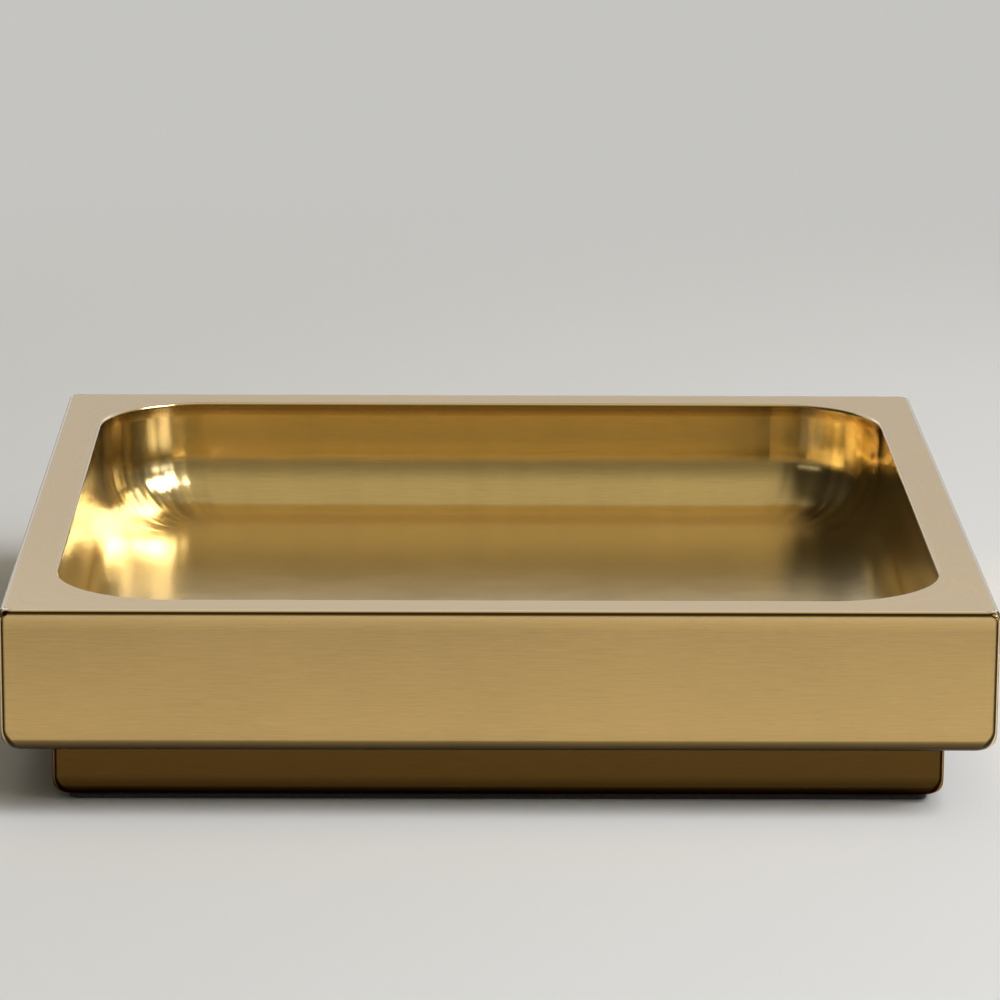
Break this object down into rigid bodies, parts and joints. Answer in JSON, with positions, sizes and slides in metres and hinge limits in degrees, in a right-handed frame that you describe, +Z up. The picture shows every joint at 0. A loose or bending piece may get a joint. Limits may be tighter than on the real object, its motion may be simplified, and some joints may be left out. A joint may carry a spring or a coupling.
{
  "type": "square tray",
  "caption": "Low square brass tray with a flat rim, a deep round-cornered polished well and a recessed plinth on a felt pad.",
  "frame": {"origin": "on the table under the middle of the tray, at the underside of the felt pad", "axes": "+Z up through the middle of the well, the front side towards -Y, +X to the right seen from the front"},
  "size_m": [0.2, 0.2, 0.0429],
  "materials": {
    "satin_brass": "fine lengthwise brushing under a clear satin lacquer",
    "polished_brass": "soft polish over a fine lengthwise grain, clear lacquered",
    "aged_brass": "fine lengthwise brushing, darkened with age",
    "brass_sheet": "plain rolled sheet",
    "screw_steel": "plain turned steel",
    "felt": "black wool felt"
  },
  "bodies": {
    "root": {"casing": "satin_brass", "well_dish": "polished_brass", "soffit_plate": "brass_sheet", "plinth_ring": "aged_brass", "base_plate": "brass_sheet", "base_screw_1": "screw_steel", "base_screw_2": "screw_steel", "base_screw_3": "screw_steel", "base_screw_4": "screw_steel", "base_screw_5": "screw_steel", "base_screw_6": "screw_steel", "base_screw_7": "screw_steel", "base_screw_8": "screw_steel", "felt_pad": "felt"}
  },
  "joints": []
}
